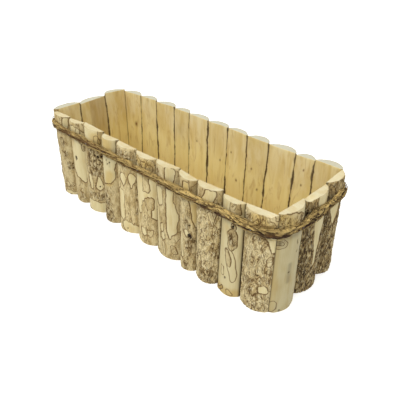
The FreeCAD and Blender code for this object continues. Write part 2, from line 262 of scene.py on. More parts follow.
def sawn_finish():
    """The flat inner side: golden sawn wood with grain along the slat, with painted light lower down."""
    finish = Finish("sawn_wood")
    grime_and_shade, tone, knot, stain, low_painted_light = finish.notes("grime_and_shade", "tone", "knot", "stain", "low_painted_light")
    band, line, cloud, fibre, smudge = finish.noises(
        (17, 17, 100, 2, 0.5, 1.0), (1.1, 1.1, 60, 3, 0.65), (13, 13, 34, 3), (0.5, 0.5, 11),
        (11, 11, 42, 3, 0.6, 1.2))
    # The pale yellow layer is painted light on the lower parts of the sawn faces
    colour = finish.paint(
        (233, 217, 164), ((219, 196, 131), band.ease(0.34, 0.66)),
        ((236, 223, 180), cloud.ease(0.48, 0.7) * 0.5), ((194, 164, 98), line.ease(0.56, 0.76) * 0.14),
        ((250, 234, 158), low_painted_light * 0.6), ((190, 156, 94), smudge.ease(0.5, 0.72) * 0.45),
        ((174, 146, 94), stain * 0.6), ((118, 74, 33), knot))
    colour = finish.paint(colour.shade(tone, 0.08, 0.09, 0.14), ((96, 64, 30), grime_and_shade))
    return finish.done(colour, 0.58 + fibre * 0.2, line * 0.5 + fibre * 0.5, 0.3)


def end_finish():
    """Sawn ends: cream end grain with faint rings and a thin brown rim."""
    finish = Finish("end_grain")
    ring, rim, tone, grey = finish.notes("ring", "rim", "tone", "grey")
    speck, cloud, saw = finish.noises((0.8, 0.8, 0.8, 3), (14, 14, 14), (9, 0.9, 9))
    year = finish.maths("SINE", (ring + cloud * 3) * 3.1) * 0.5 + 0.5
    colour = finish.paint(
        (234, 222, 180), ((225, 206, 156), cloud.ease(0.35, 0.7)), ((212, 190, 136), year * 0.28),
        ((244, 238, 208), saw.ease(0.5, 0.75) * 0.4), ((186, 160, 104), speck.ease(0.62, 0.8) * 0.35))
    colour = finish.paint(
        colour.shade(tone, 0.03, 0.03, 0.06), ((206, 205, 186), grey * 0.75), ((142, 112, 64), rim))
    return finish.done(colour, 0.7 + speck * 0.15, speck * 0.5 + saw * 0.5, 0.25, gloss=0.25)


def plank_finish():
    """Rough-sawn floor planks with the grain along the pot."""
    finish = Finish("rough_plank")
    grime_and_shade, = finish.notes("grime_and_shade")
    band, line, saw = finish.noises((150, 6, 8, 2, 0.5, 0.8), (50, 0.9, 0.9, 3, 0.65), (1.6, 24, 24, 1))
    colour = finish.paint(
        (218, 190, 134), ((188, 150, 88), band.ease(0.34, 0.66)),
        ((160, 120, 64), line.ease(0.53, 0.72) * 0.55), ((226, 204, 152), saw.ease(0.55, 0.7) * 0.3),
        ((86, 58, 30), grime_and_shade))
    return finish.done(colour, 0.68 + line * 0.2, line * 0.6 + saw * 0.4, 0.4)


def bast_finish():
    """Twisted bast fibre: brown with lighter golden strands, a painted highlight on top, and painted shade in
    its hollows and underneath.
    """
    finish = Finish("bast_fibre")
    strand, hollow, fray = finish.notes("strand", "hollow", "fray")
    fibre, cloud, clot, knit = finish.noises(
        (1.0, 1.0, 0.7, 4, 0.7), (22, 22, 14), (9, 9, 1.5, 3, 0.6), (4, 4, 2.6))
    matted = clot * 0.5 + knit * 0.5
    share = (strand * 0.6 + cloud * 0.45 + fibre * 0.3).ease(0.42, 0.92)
    # The darkest layer is painted shade in the rope's hollows and underneath, and the darkness of its lumps
    colour = finish.paint(
        (106, 76, 38), ((216, 187, 118), share), ((76, 51, 26), fibre.ease(0.53, 0.72) * (0.3 + fray * 0.5)),
        ((66, 42, 21), matted.ease(0.5, 0.6) * (0.15 + fray * 0.7)), ((50, 31, 17), hollow))
    return finish.done(colour, 0.72 + fibre * 0.2, fibre, 0.5, gloss=0.25)


def nail_finish():
    """Dull wire nails with a little rust."""
    finish = Finish("dull_nail_wire")
    rust = finish.noise(1.2, 1.2, 1.2, 4, 0.7)
    share = rust.ease(0.45, 0.65)
    colour = finish.mix((126, 122, 116), (104, 66, 38), share)
    return finish.done(colour, 0.38 + share * 0.42, rust, 0.1, gloss=0.5, metal=1 - share * 0.8)


BARK, SAWN, END_GRAIN = bark_finish(), sawn_finish(), end_finish()
PLANK, BAST, NAIL = plank_finish(), bast_finish(), nail_finish()


# Walls and slats as the frame has them

class Wall:
    """A wall's own frame: its left corner seen from outside, along, and outwards."""

    def __init__(self, corner, along, outward):
        self.corner, self.along, self.outward = np.array(corner), np.array(along), np.array(outward)

    def local(self, points):
        """Along, outwards and up in mm."""
        flat = points[:, :2] - self.corner
        return np.stack([flat @ self.along, flat @ self.outward, points[:, 2]]) / MM

    def world(self, along, out, up):
        """Points in metres from places in mm."""
        flat = self.corner + MM * (np.outer(along, self.along) + np.outer(out, self.outward))
        return np.column_stack([flat, MM * np.asarray(up)])


front_low, front_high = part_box("front_plank")
back_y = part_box("back_plank")[1].y
WALLS = {
    "front": Wall((front_low.x, front_low.y), (1, 0), (0, -1)),
    "right": Wall((front_high.x, front_low.y), (0, 1), (1, 0)),
    "back": Wall((front_high.x, back_y), (-1, 0), (0, 1)),
    "left": Wall((front_low.x, back_y), (0, -1), (-1, 0)),
}
SLATS = {wall: sorted(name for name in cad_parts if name.startswith(wall + "_slat")) for wall in WALLS}


class Outline:
    """The main measures of a slat's solid, in mm in its wall's frame."""

    NEAR = 0.05
    TOP_ZONE = 15

    def __init__(self, wall, name):
        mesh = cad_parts[name].data
        points = np.empty(3 * len(mesh.vertices))
        mesh.vertices.foreach_get("co", points)
        along, out, up = wall.local(points.reshape(-1, 3))
        sawn_face = out < self.NEAR
        foot = along[sawn_face & (up < self.NEAR)]
        self.foot_left, self.foot_right = foot.min(), foot.max()
        is_top = up > up.max() - self.TOP_ZONE
        top = np.flatnonzero(sawn_face & is_top)
        left, right = top[along[top].argmin()], top[along[top].argmax()]
        self.top_left, self.top_right = along[left], along[right]
        self.left_height, self.right_height = up[left], up[right]
        self.foot_crown = out[up < self.NEAR].max()
        self.top_crown = out[is_top].max()
        self.width = (self.foot_right - self.foot_left + self.top_right - self.top_left) / 2


# How each slat looks. A mark runs from one rounded place to the next; holes, knots and the marks of the sawn
# face are single places. A place is its percent across the slat from its left seen from outside, its height
# and its radius in mm. Of bare and bark, later marks lie over earlier ones.

def kind_of_mark(kind):
    """A function that notes a mark of a kind from three numbers for each of its places."""
    return lambda *numbers: (kind, np.reshape(numbers, (-1, 3)) / (100, 1, 1))


# Peeled patch, bark left on, brown outline, dark rough bark, dense squiggles, grey and tan stains
OUTER_KINDS = ("bare", "bark", "ring", "rugged", "curly", "smear", "golden", "hole", "knot")
bare, bark, ring, rugged, curly, smear, golden, hole, knot = map(kind_of_mark, OUTER_KINDS)
sawn_knot, sawn_stain = map(kind_of_mark, ("sawn_knot", "sawn_stain"))


class Look:
    """Bark and bare wood of one slat: its share of bare wood, roughness and darkness, and its own marks."""

    def __init__(self, bare_share, rough, *marks, dark=0.0, loops=0.1, tone=0.0):
        self.bare_share, self.rough, self.marks = bare_share, rough, marks
        self.dark, self.loops, self.tone = dark, loops, tone


LOOKS = {
    "front_slat_01": Look(0.1, 0.45, bare(86, 150, 4.5, 83, 136, 3.5), rugged(85, 66, 4, 88, 58, 4),
        rugged(70, 88, 4, 72, 82, 3), rugged(60, 112, 5, 66, 104, 5), rugged(16, 128, 3, 20, 30, 3),
        ring(46, 34, 4, 46, 28, 4), ring(64, 23, 4, 66, 18, 3.4), bare(50, 4, 4, 90, 3, 4), loops=0.3,
        tone=-1.3),
    "front_slat_02": Look(0.08, 0.45, bare(50, 126, 25, 58, 84, 23, 74, 62, 13, 90, 46, 3),
        rugged(86, 124, 5, 98, 112, 5), bark(86, 126, 4, 99, 112, 6), ring(77, 152, 3, 75, 141, 4),
        rugged(72, 18, 5, 70, 8, 6), hole(51, 90, 3.2), loops=0.25, tone=-0.7),
    "front_slat_03": Look(0.12, 0.6, rugged(72, 120, 13, 70, 86, 13), bare(45, 73, 3.8, 52, 49, 3),
        bare(83, 71, 2, 82, 54, 6.5), rugged(50, 36, 6, 95, 33, 7), bare(35, 12, 11, 95, 8, 13),
        bare(55, 154, 16, 58, 140, 13), golden(75, 148, 7, 80, 139, 7), ring(80, 146, 4, 82, 139, 5),
        ring(40, 118, 2.4, 43, 94, 2.4),
        hole(72, 114, 1.3, 82, 112, 1.9, 93, 113, 1.3, 88, 106, 1, 70, 103, 1, 80, 98, 0.9, 84, 54, 0.9),
        dark=0.15, tone=-0.2),
    "front_slat_04": Look(0.1, 0.5, bare(45, 130, 19, 47, 92, 17.5), golden(66, 94, 7, 62, 80, 7),
        golden(50, 152, 9, 60, 142, 9), smear(58, 121, 1.2, 58, 113, 1), smear(72, 118, 1.3, 72, 110, 1),
        rugged(45, 58, 6, 50, 12, 12), ring(30, 58, 4, 28, 20, 3), bare(50, 152, 18, 50, 140, 18),
        hole(42, 138, 1.3, 56, 120, 0.9, 62, 114, 0.8, 72, 117, 1), loops=0.15, tone=-0.6),
    "front_slat_05": Look(0.1, 0.5, bare(49, 103, 7.6, 53, 90, 1), bare(83, 107, 5.8, 82, 88, 1),
        bare(33, 72, 8, 32, 30, 8), rugged(100, 105, 3, 98, 40, 3), bare(55, 14, 9, 85, 5, 12),
        curly(10, 147, 8, 90, 144, 8), rugged(30, 148, 3, 75, 144, 3), hole(60, 8, 1.1), loops=0.3),
    "front_slat_06": Look(0.1, 0.5, bare(28, 130, 12, 28, 84, 11, 32, 62, 5), bare(90, 126, 5.5, 90, 70, 4.5),
        bare(50, 92, 8, 94, 88, 9), bark(70, 132, 4.2, 72, 104, 4.6),
        bark(77, 84, 6.5, 72, 66, 8.5, 58, 28, 17), ring(78, 26, 4.5, 78, 21, 4.5),
        bare(48, 27, 5.5, 52, 20, 5.5), bare(94, 66, 4, 96, 54, 5), ring(80, 141, 4, 80, 137, 4),
        ring(63, 147, 3.4, 63, 143, 3.4), curly(10, 147, 8, 90, 146, 8), golden(30, 148, 6, 80, 146, 6),
        hole(88, 133, 1.2), loops=0.3),
    "front_slat_07": Look(0.1, 0.5, bare(31, 117, 9, 34, 100, 7.5),
        bare(74, 128, 5, 73, 104, 5.5, 78, 82, 8.5, 76, 54, 7.5, 72, 40, 2),
        bark(95, 128, 4.5, 96, 100, 4, 99, 84, 1), bare(20, 80, 4, 20, 50, 4.5, 22, 8, 4),
        bare(42, 57, 4.2, 43, 52, 4), bare(45, 43, 4.6, 46, 37, 4.6), ring(50, 28, 3, 50, 8, 2),
        ring(80, 24, 4, 84, 14, 3), bare(74, 153, 8, 74, 141, 7), curly(18, 150, 5, 34, 143, 5),
        rugged(28, 147, 2, 36, 140, 2), bark(50, 153, 1.1, 54, 138, 1.4), bark(92, 150, 1.1, 95, 142, 1.6),
        loops=0.2, tone=-0.5),
    "front_slat_08": Look(0.1, 0.65, bare(90, 124, 3.5, 95, 100, 3, 100, 82, 1),
        golden(93, 118, 3, 97, 90, 3), bare(62, 71, 4, 72, 67, 3.4), rugged(55, 90, 5, 68, 82, 5),
        rugged(80, 55, 6, 76, 42, 5), rugged(50, 14, 3, 60, 10, 4), bare(30, 60, 3.5, 36, 25, 3.2),
        ring(60, 14, 3, 60, 10, 3), bare(62, 150, 5, 64, 134, 6), golden(62, 148, 4, 64, 138, 5),
        curly(20, 152, 3, 24, 140, 3), ring(27, 138, 3, 27, 134, 3),
        hole(77, 65, 2.5, 82, 63, 1.6, 79, 83, 1.1), loops=0.15, tone=-0.1),
    "front_slat_09": Look(0.05, 0.85, ring(78, 119, 5.5, 82, 104, 1), rugged(90, 70, 5, 95, 52, 6),
        rugged(60, 26, 10, 80, 8, 13), bare(70, 150, 8, 60, 139, 8)),
    "front_slat_10": Look(1, 0.5, bark(71, 111, 4, 70, 103, 7.5, 72, 92, 6.5, 71, 85, 4),
        bark(72, 121, 3.6, 72, 118, 3.6), rugged(70, 105, 4, 72, 92, 4), rugged(72, 121, 2, 72, 118, 2),
        bark(55, 78, 3.5, 58, 68, 5, 64, 56, 3), ring(60, 77, 6.5, 70, 60, 6.5, 80, 40, 5, 83, 30, 3),
        ring(34, 46, 2.5, 36, 36, 3.3), golden(10, 5, 8, 90, 5, 8), ring(70, 9, 4, 72, 6, 4),
        bark(12, 2, 4, 36, 9, 3), bark(72, 152, 7, 75, 140, 7), hole(50, 30, 1.5, 72, 119, 1.5), loops=0,
        tone=-1.1),
    "front_slat_11": Look(0.06, 0.9, bare(93, 130, 7, 98, 116, 5, 100, 102, 2), bare(84, 42, 5, 85, 38, 5),
        rugged(30, 48, 5, 45, 30, 5), golden(55, 151, 9, 80, 144, 7), curly(10, 147, 9, 75, 146, 9),
        rugged(0, 144, 3, 20, 143, 3), ring(93, 92, 3, 94, 84, 3), ring(92, 78, 3, 92, 70, 3),
        hole(68, 64, 1), tone=-0.6),
    # The right end's slats are darkened by their tones, the first most: partly their own colour, partly
    # painted shade of the end that faces away from the light
    "right_slat_1": Look(1, 0.3, golden(-1, 128, 3, -1, 2, 3), ring(5, 16, 4, 5, 7, 4),
        golden(10, 152, 8, 30, 144, 8), bark(-5, 150, 12, 50, 147, 11), curly(0, 150, 8, 50, 146, 8),
        smear(36, 80, 3, 35, 52, 3), rugged(52, 150, 4, 64, 144, 6),
        hole(54, 114, 1.4, 55, 110, 1.2, 56, 97, 1.2, 35, 67, 0.9, 20, 3, 1.2), knot(6, 117, 8.5), loops=0,
        tone=-3.5),
    "right_slat_2": Look(0.08, 1.15, bare(50, 126, 13, 49, 96, 9, 47, 70, 4.5, 44, 46, 2),
        bare(52, 152, 13, 55, 141, 12), rugged(20, 60, 8, 40, 12, 16), rugged(80, 100, 8, 80, 40, 8),
        smear(10, 124, 3, 14, 20, 4), dark=0.85, tone=-1.2),
    "right_slat_3": Look(0.05, 1.15, bare(36, 124, 9.5, 36, 112, 6.5, 34, 90, 1), rugged(6, 80, 4, 6, 68, 4),
        rugged(60, 60, 10, 60, 20, 12), smear(10, 120, 3, 12, 30, 3), smear(36, 56, 2, 38, 50, 2), dark=0.75,
        tone=-0.9),
}
SPARE_LOOKS = [(0.12, 0.6, 0.1), (1.0, 0.3, 0.0), (0.3, 0.4, 0.0), (0.1, 0.9, 0.45), (0.45, 0.5, 0.1),
               (0.2, 0.75, 0.2)]


def spare_look(seed):
    """A look for a slat of the far walls: a kind by turns, with a few patches of its own."""
    draw = np.random.default_rng(900 + seed)
    bare_share, rough, dark = SPARE_LOOKS[seed % len(SPARE_LOOKS)]
    kind = bark if bare_share > 0.6 else bare
    marks = []
    for _ in range(3):
        across, height, size = draw.uniform(20, 80), draw.uniform(30, 135), draw.uniform(2.5, 8)
        end = across + draw.uniform(-10, 10), height - draw.uniform(10, 45), size * 0.5
        marks.append(kind(across, height, size, *end))
    marks.append(hole(draw.uniform(25, 75), draw.uniform(20, 120), draw.uniform(1, 2.2)))
    loops, tone = draw.uniform(0, 0.3), draw.uniform(-0.2, 0.1)
    return Look(bare_share, rough, *marks, dark=dark, loops=loops, tone=tone)


SAWN_MARKS = {
    "front_slat_04": [sawn_knot(50, 80, 4)], "front_slat_08": [sawn_knot(60, 110, 3)],
    "right_slat_2": [sawn_knot(40, 70, 5)], "left_slat_3": [sawn_knot(40, 60, 3)],
    "back_slat_02": [sawn_knot(45, 138, 2, 55, 112, 2)], "back_slat_04": [sawn_knot(70, 104, 2, 30, 70, 2.4)],
    "back_slat_05": [sawn_knot(40, 70, 2.6, 75, 118, 1.8)], "back_slat_06": [sawn_knot(30, 95, 2.2)],
    "back_slat_07": [sawn_knot(55, 112, 1.8)], "back_slat_08": [sawn_stain(60, 120, 12)],
    "back_slat_11": [sawn_knot(35, 95, 5)],
}
# A slat stained along one side of its sawn face: the shares across between which the stain begins
SIDE_STAINED, SIDE_STAIN_EDGE = "left_slat_2", (0.68, 0.62)
# Broken top edges: share across the top, mm out from the sawn face, depth and radius in mm
CHIPS = {"front_slat_11": (0.97, 11, 6, 5), "right_slat_2": (0.06, 9, 6, 8)}


def mark_distance(across, up, places):
    """Distance in mm outside a mark that runs from place to place, negative inside it."""
    nearest = np.inf
    for (across_0, up_0, size_0), (across_1, up_1, size_1) in zip(places, places[1:]):
        x, y = across - across_0, up - up_0
        run_x, run_y = across_1 - across_0, up_1 - up_0
        t = np.clip((x * run_x + y * run_y) / (run_x ** 2 + run_y ** 2), 0, 1)
        away = np.hypot(x - t * run_x, y - t * run_y) - between(size_0, size_1, t)
        nearest = np.minimum(nearest, away)
    return nearest


# Pieces and their meshes

class Block:
    """The skin of a brick of cells: its nodes' numbers along, outwards and up, and its faces side by side:
    inside, outside, left, right, foot and top."""

    def __init__(self, along, deep, rows):
        i, j, k = np.meshgrid(np.arange(along + 1), np.arange(deep + 1), np.arange(rows + 1), indexing="ij")
        skin = (i % along == 0) | (j % deep == 0) | (k % rows == 0)
        number = np.full(skin.shape, -1)
        number[skin] = np.arange(skin.sum())
        self.i, self.j, self.k = i[skin], j[skin], k[skin]
        inside, left, foot = map(self.sheet, (number[:, 0], number[0], number[:, :, 0]))
        outside, right, top = map(self.sheet, (number[:, -1], number[-1], number[:, :, -1]))
        sides = inside[:, ::-1], outside, left, right[:, ::-1], foot, top[:, ::-1]
        self.faces, self.side_sizes = np.concatenate(sides), [len(side) for side in sides]

    @staticmethod
    def sheet(grid):
        corners = [grid[:-1, :-1], grid[1:, :-1], grid[1:, 1:], grid[:-1, 1:]]
        return np.stack(corners, -1).reshape(-1, 4)


def put(name, data):
    """A new object in the scene."""
    thing = bpy.data.objects.new(name, data)
    bpy.context.scene.collection.objects.link(thing)
    return thing


def new_piece(name, node, points, faces, finishes, notes, finish_numbers=None, crease=None):
    """A mesh piece in place of a node, with its finishes and the notes that they read. A crease in degrees
    is the bend from which an edge looks sharp."""
    mesh = bpy.data.meshes.new(name)
    mesh.from_pydata(points.tolist(), [], faces)
    for finish in finishes:
        mesh.materials.append(finish)
    if finish_numbers is not None:
        mesh.polygons.foreach_set("material_index", finish_numbers.astype(np.int32))
    mesh.polygons.foreach_set("use_smooth", np.ones(len(faces), bool))
    for word, values in notes.items():
        mesh.attributes.new(word, "FLOAT", "POINT").data.foreach_set("value", values.astype(np.float32))
    if crease:
        mesh.set_sharp_from_angle(angle=math.radians(crease))
    piece = put(name, mesh)
    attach(piece, "root")
    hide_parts(node)


# Slats. Lengths are in mm, and edges and feet are measured outwards from the sawn face

CELLS_ALONG, CELLS_DEEP, CELLS_UP = 54, 8, 156
SLAT_BLOCK = Block(CELLS_ALONG, CELLS_DEEP, CELLS_UP)
SLAT_FINISHES = [BARK, SAWN, END_GRAIN]
FINISH_OF_SIDES = (1, 0, 0, 0, 2, 2)
# Share by which the columns crowd towards a slat's edges
EDGE_CROWDING = 0.45
WOOD_CREASE = 38
CHAMFER_HEIGHT = 0.7
FOOT_INSET, RIM_INSET, SAWN_INSET = 0.56, 0.448, 0.49
THIN_EDGE, THICK_EDGE = 1.0, 2.8
FOOT_EDGE = 3.4
# Feet whose left edge is thicker or thinner than the others
LEFT_FEET = {"front_slat_07": 2.6, "front_slat_08": 1.5, "front_slat_09": 2.6, "front_slat_11": -2.0,
             "right_slat_2": 2.0, "right_slat_3": 2.0, "front_slat_06": 1.2, "front_slat_05": 1.2}
# Where the two slats of a corner meet: past the right end of the wall, and out from it
CORNER_SEAMS = {"front": (2.6, 0.6), "right": (1.2, 2.0), "back": (1.5, 1.5), "left": (6.5, 5.0)}
# A joint is shut behind the bark and opens unevenly towards the sawn face
HALF_GAP, NARROW_GAP, WIDE_GAP = 0.58, 0.1, 2.5
GAP_FROM, GAP_TO, GAP_WAVE, GAP_RIPPLE = -0.9, 1.3, 1.9, 0.9
OUTER_GAP = 0.1
JOINT_DEPTH_SHARE = 0.22
# Unevenness of the sawn face and of the top, and how far the sawn face is set back into the slat
SAWN_WAVE, TOP_WAVE, SAWN_SET_BACK = 0.16, 0.22, 0.1
# How far a crown may be off the middle, as a share of the half width
CROWN_SHIFT = 0.12
LOG_LUMPS, LOG_RIPPLES, PEELED_GRAIN = 0.8, 0.3, 0.09
BARK_THICKNESS, PIT_DEPTH, HOLE_DEPTH = 0.7, 1.2, 2.6
PEEL_GROOVE, LOOP_GROOVE, GROOVE_REACH = 0.4, 0.25, 0.6
KNOT_EYE, KNOT_RISE, KNOT_DIP = 0.42, 0.6, 0.8
# Width of a single place, such as a hole, by its height
PLACE_WIDTH = 0.75
# A distance from bark edges or loops at which nothing of them shows
CLEAR = 6
FLATTEST_SLOPE = 0.3
# Dirt in the joints outside, at the far and the near corners, and on the sides
JOINT_DIRT, FAR_CORNER_DIRT, CORNER_DIRT = 0.45, 0.2, 0.85
SIDE_DIRT, CORNER_SIDE_DIRT = 0.85, 0.15
# Painted shade under the rope: how strong, how far below its middle, and how far it reaches
ROPE_SHADE, ROPE_SHADE_DROP, ROPE_SHADE_REACH = 0.36, 9.5, 4.5
# Sawn faces are painted lighter lower down, against the shade inside the pot: none at the first height, fully
# at the second
PAINTED_LIGHT_HEIGHTS = (138, 70)
SAWN_TONE, TONE_SPREAD = -0.2, 0.45
# Where the log's pith lies, out from the sawn face and along from the middle of the top
PITH_OUT, PITH_ALONG = (-4, 3), (-4, 4)
RIM_SHARE = 0.55
CHIP_ZONE = 25
GREY_TOPS = ("back", "left")
ROPE_LOW, ROPE_HIGH = (np.array(corner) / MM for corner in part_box("rope"))
ROPE_HEIGHT = (ROPE_LOW[2] + ROPE_HIGH[2]) / 2


class SlatSkin:
    """Works out one slat: its plain shape from the frame, then bark, peeled patches, knots and saw marks."""

    def __init__(self, wall_name, number):
        names, walls = SLATS[wall_name], list(WALLS)
        order = walls.index(wall_name)
        self.name = names[number]
        self.wall, self.wall_name, self.wall_before = WALLS[wall_name], wall_name, walls[order - 1]
        self.seed = 100 * order + 10 * number + 7
        self.draw = np.random.default_rng(self.seed)
        self.look = LOOKS.get(self.name) or spare_look(self.seed)
        self.outline = Outline(self.wall, self.name)
        self.marks = [(kind, places * (self.outline.width, 1, 1))
                      for kind, places in (*self.look.marks, *SAWN_MARKS.get(self.name, ()))]
        self.corner_left, self.corner_right = number == 0, number == len(names) - 1
        self.plain_shape()
        self.bark_field()
        self.raise_bark()
        self.face_notes()

    def plain_shape(self):
        """Sawn inner face and round outer face as rows of points, before any bark."""
        line, draw, seed = self.outline, self.draw, self.seed
        height = max(line.left_height, line.right_height)
        chamfer = CHAMFER_HEIGHT / height
        self.share_up = np.concatenate([[0], np.linspace(chamfer, 1 - chamfer, CELLS_UP - 1), [1]])
        t = self.share_up[:, None]
        up = self.up = t * height
        even = np.linspace(0, 1, CELLS_ALONG + 1)
        self.across = between(even, (1 - np.cos(math.pi * even)) / 2, EDGE_CROWDING)
        self.plan = self.across * line.width
        x = 2 * self.across - 1
        left = self.left = between(line.foot_left, line.top_left, t)
        right = self.right = between(line.foot_right, line.top_right, t)
        gaps = [draw.uniform(GAP_FROM, GAP_TO) + GAP_WAVE * rough_noise(up / 42, 0.5, seed + n)
                + GAP_RIPPLE * rough_noise(up / 9, 0.5, seed + n + 1) for n in (1, 3)]
        gap_left, gap_right = (np.clip(gap, NARROW_GAP - HALF_GAP, WIDE_GAP) for gap in gaps)
        in_left = left - HALF_GAP if self.corner_left else left + gap_left
        in_right = right + HALF_GAP if self.corner_right else right - gap_right
        self.in_along = between(in_left, in_right, self.across)
        self.in_out = SAWN_WAVE * rough_noise(self.in_along / 15, up / 60, seed + 5) + SAWN_SET_BACK

        edges = draw.uniform(THIN_EDGE, THICK_EDGE, 2) + FOOT_EDGE * (1 - t)
        edge_left, edge_right = edges[:, :1] + LEFT_FEET.get(self.name, 0) * (1 - t), edges[:, 1:]
        out_left, out_right = left + OUTER_GAP, right - OUTER_GAP
        if self.corner_left:
            past, out = CORNER_SEAMS[self.wall_before]
            edge_left, out_left = past, left - HALF_GAP - out
        if self.corner_right:
            past, out = CORNER_SEAMS[self.wall_name]
            edge_right, out_right = out, right + HALF_GAP + past
        crown = between(line.foot_crown, line.top_crown, t)
        edge = between(edge_left, edge_right, self.across)
        half = (out_right - out_left) / 2
        rise = crown - (edge_left + edge_right) / 2
        radius = (half ** 2 + rise ** 2) / (2 * rise)
        bend = x + draw.uniform(-CROWN_SHIFT, CROWN_SHIFT) * (1 - x * x)
        swell = (np.sqrt(radius ** 2 - (bend * half) ** 2) - radius + rise) / rise
        self.out_along = between(out_left, out_right, self.across)
        self.out_out = between(edge, crown, swell)
        middle = len(up) // 2
        steps = np.hypot(np.diff(self.out_along[middle]), np.diff(self.out_out[middle]))
        self.girth = np.concatenate([[0], np.cumsum(steps)])

    def most(self, layers):
        """The highest of some layers at each point, or 0."""
        return np.max([np.zeros(self.out_out.shape), *layers], axis=0)

    def cover(self, kind, outside, inside):
        """Marks of a kind, rising from 0 at a distance outside them to 1 at a depth inside."""
        return self.most(ease(mark_distance(self.plan, self.up, places), outside, -inside)
                         for word, places in self.marks if word == kind)

    def near(self, kind, reach=1.0):
        """How close each point is to the single places of a kind: 1 in their middle."""
        places = [place for word, places in self.marks if word == kind for place in places]
        return self.most(bump(np.hypot(self.plan - across, (self.up - height) * PLACE_WIDTH), size * reach)
                         for across, height, size in places)

    def true_distance(self, field):
        """Turns a field into mm from its zero line by its slope."""
        slopes = np.gradient(field, self.up[:, 0], self.girth)
        return np.clip(field / np.clip(np.hypot(*slopes), FLATTEST_SLOPE, None), -CLEAR, CLEAR)

    def bark_field(self):
        """Signed distance from the bark's edges, above 0 on bark and below 0 on bare wood, and from loops."""
        look, seed, girth, up = self.look, self.seed, self.girth, self.up
        wave_x = 1.3 * rough_noise(girth / 8, up / 18, seed + 11, 2)
        wave_y = 2.8 * rough_noise(girth / 10, up / 22, seed + 12, 2)
        bed = rough_noise((girth + 3 * wave_x) / 15, (up + 3 * wave_y) / 46, seed + 13)
        field = 16 * (bed + 4 * (0.5 - look.bare_share))
        plan, height = self.plan + wave_x, up + wave_y
        rings = []
        for word, places in self.marks:
            away = mark_distance(plan, height, places)
            if word == "bare":
                field = np.minimum(field, away)
            elif word == "bark":
                field = np.maximum(field, -away)
            elif word == "ring":
                rings.append(away)
            elif word == "knot":
                (across, middle, size), = places
                eye = np.hypot(plan - across, height - middle)
                rings += [eye - size, eye - KNOT_EYE * size]
        self.peel = self.true_distance(field)
        swirl = rough_noise((girth + 4 * wave_x) / 9, (up + 4 * wave_y) / 21, seed + 14, 2)
        masked = noise(girth / 20, up / 40, seed + 15) + 1.3 * look.loops - 0.65
        masked = masked + 0.5 * ease(up, ROPE_HEIGHT, ROPE_HEIGHT + 12)
        hidden = np.maximum(ease(-masked, -0.15, 0.15), ease(-self.peel, -1.5, 0.2))
        self.loops = self.true_distance(11 * swirl) + 20 * hidden
        for away in rings:
            self.loops = np.where(np.abs(self.loops) < np.abs(away), self.loops, away)

    def raise_bark(self):
        """Moves the outer face: lumps of the log, bark thickness, pits, grooves, knots and holes."""
        look, seed, girth, up = self.look, self.seed, self.girth, self.up
        bark_on = ease(self.peel, -0.3, 0.6)
        self.pit = np.clip(0.5 + 0.75 * rough_noise(girth / 3.1, up / 8.5, seed + 21), 0, 1)
        rough_bark = self.cover("rugged", 4, 3)
        rough_marks = np.maximum(1.35 * rough_bark, 0.9 * self.cover("curly", 4, 3))
        self.rough = np.maximum(look.rough * (1 - 0.4 * ease(up, ROPE_HEIGHT, ROPE_HEIGHT + 8)), rough_marks)
        self.dark = np.maximum(look.dark, (0.35 + 0.65 * look.dark) * rough_bark)
        lift = LOG_LUMPS * rough_noise(girth / 26, up / 62, seed + 22)
        lift += LOG_RIPPLES * noise(girth / 9, up / 24, seed + 23)
        lift += BARK_THICKNESS * bark_on + PIT_DEPTH * (self.pit - 0.5) * self.rough * bark_on
        lift -= PEEL_GROOVE * bump(self.peel, GROOVE_REACH) + LOOP_GROOVE * bump(self.loops, GROOVE_REACH)
        lift += PEELED_GRAIN * noise(girth / 1.7, up / 30, seed + 24) * (1 - bark_on)
        self.hole = ease(self.near("hole"), 0.22, 0.5)
        self.knot = self.near("knot", 0.3)
        lift += KNOT_RISE * self.near("knot", 0.7) - KNOT_DIP * self.knot - HOLE_DEPTH * self.hole
        lift *= np.clip(1.15 - np.abs(2 * self.across - 1) ** 8, 0, 1)
        slope = np.gradient(self.out_out, axis=1), np.gradient(self.out_along, axis=1)
        size = np.hypot(*slope)
        self.out_along = self.out_along - lift * slope[0] / size
        self.out_out = self.out_out + lift * slope[1] / size
        for row, inset in ((0, FOOT_INSET), (-1, RIM_INSET)):
            self.out_out[row] -= inset
            self.in_out[row] += SAWN_INSET

    def face_notes(self):
        """Tones, dirt, painted shade and stains at every point of the two faces."""
        up, across = self.up, self.across
        edges = np.array([1 - across, across])
        far = "left" in (self.wall_name, self.wall_before)
        dirt = [(FAR_CORNER_DIRT if far else CORNER_DIRT) if corner else JOINT_DIRT
                for corner in (self.corner_left, self.corner_right)]
        joint = dirt @ ease(edges, 0.975, 1.0)
        # Painted shade on the slat just under the rope
        shade_under_rope = ROPE_SHADE * bump(up - ROPE_HEIGHT + ROPE_SHADE_DROP, ROPE_SHADE_REACH)
        grey = 0.35 * self.cover("smear", 2.5, 3)
        # Dirt in the joints, grey smears and knot eyes, with painted shade under the rope and in the holes
        self.grime_and_shade = np.clip(joint + shade_under_rope + 1.2 * self.hole + grey + 0.7 * self.knot, 0, 1)
        self.stain = self.cover("golden", 5, 4)
        fade = 1 - 0.5 * ease(up, ROPE_HEIGHT - 2, ROPE_HEIGHT + 8)
        self.tone = self.look.tone * fade + np.zeros(self.peel.shape)
        worn = 0.55 + 0.45 * noise(up / 16, 4 * across, self.seed + 6)
        self.grime_in = np.clip(0.9 * ease(edges.max(axis=0), 0.965, 1.0) * worn, 0, 1)
        self.knot_in = self.near("sawn_knot", 0.7)
        self.stain_in = 0.5 * self.near("sawn_stain", 0.8)
        if self.name == SIDE_STAINED:
            self.stain_in += 0.8 * ease(across, *SIDE_STAIN_EDGE)

